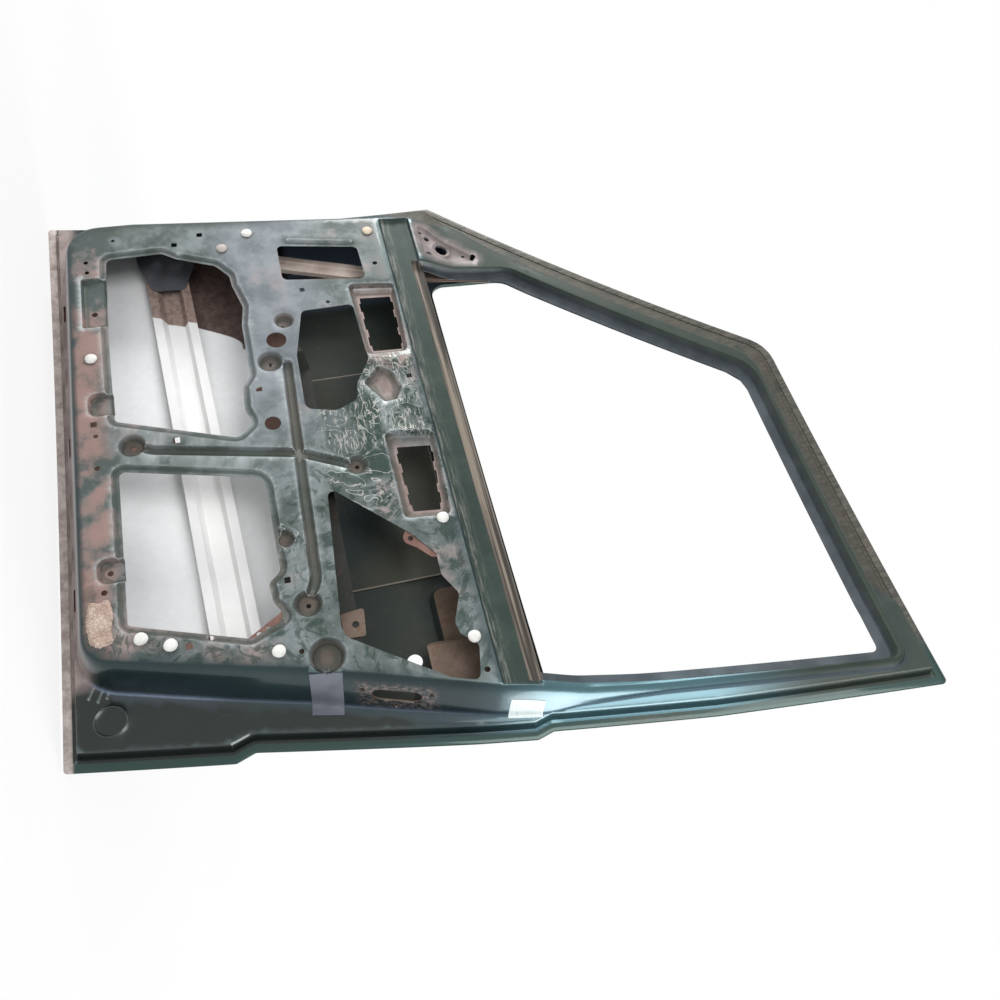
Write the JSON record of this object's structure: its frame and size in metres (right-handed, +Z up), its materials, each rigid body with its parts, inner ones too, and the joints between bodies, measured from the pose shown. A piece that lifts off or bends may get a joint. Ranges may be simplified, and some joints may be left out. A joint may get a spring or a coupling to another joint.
{
  "type": "car door shell",
  "caption": "Right front door shell with window frame: a crowned outer skin hemmed round a pressed inner panel, bare of trim, glass and lock.",
  "frame": {"origin": "middle of the upper hinge seat, on the outside of the front shut wall, between its two bolt holes", "axes": "+X rearwards along the car, +Y outboard through the outer skin, +Z up as the door hangs"},
  "size_m": [1.121, 0.1298, 1.173],
  "materials": {
    "bare_steel": "bare steel",
    "bitumen": "black bitumen sheet",
    "cream_foam": "dried cream sealant",
    "cream_plastic": "cream moulded plastic",
    "dull_green_paint": "dull dusty green overspray on primer",
    "green_paint": "glossy dark green metallic paint",
    "primer_brown": "matt brown primer",
    "slate_primer": "matt slate primer"
  },
  "bodies": {
    "root": {"inner_panel": "dull_green_paint", "outer_skin": "green_paint", "front_glass_guide": "slate_primer", "window_channel": "slate_primer", "rear_glass_guide": "slate_primer", "rear_guide_bracket": "primer_brown", "belt_reinforcement_inner": "primer_brown", "belt_reinforcement_outer": "primer_brown", "intrusion_beam": "primer_brown", "beam_bracket_front": "slate_primer", "beam_bracket_rear": "slate_primer", "cross_stiffener": "slate_primer", "stiffener_bracket": "primer_brown", "tab_bracket": "primer_brown", "corner_bracket": "primer_brown", "hinge_reinforcement_lower": "primer_brown", "hinge_reinforcement_upper": "primer_brown", "latch_reinforcement": "primer_brown", "mirror_reinforcement": "primer_brown", "handle_reinforcement": "primer_brown", "skin_damping_sheet": "bitumen", "trim_plug_1": "cream_plastic", "trim_plug_2": "cream_plastic", "trim_plug_3": "cream_plastic", "trim_plug_4": "cream_plastic", "trim_plug_5": "cream_plastic", "trim_plug_6": "cream_plastic", "trim_plug_7": "cream_plastic", "trim_plug_8": "cream_plastic", "trim_plug_9": "cream_plastic", "weld_nut_1": "bare_steel", "weld_nut_2": "bare_steel", "weld_nut_3": "bare_steel", "sealant_pad": "cream_foam"}
  },
  "joints": []
}
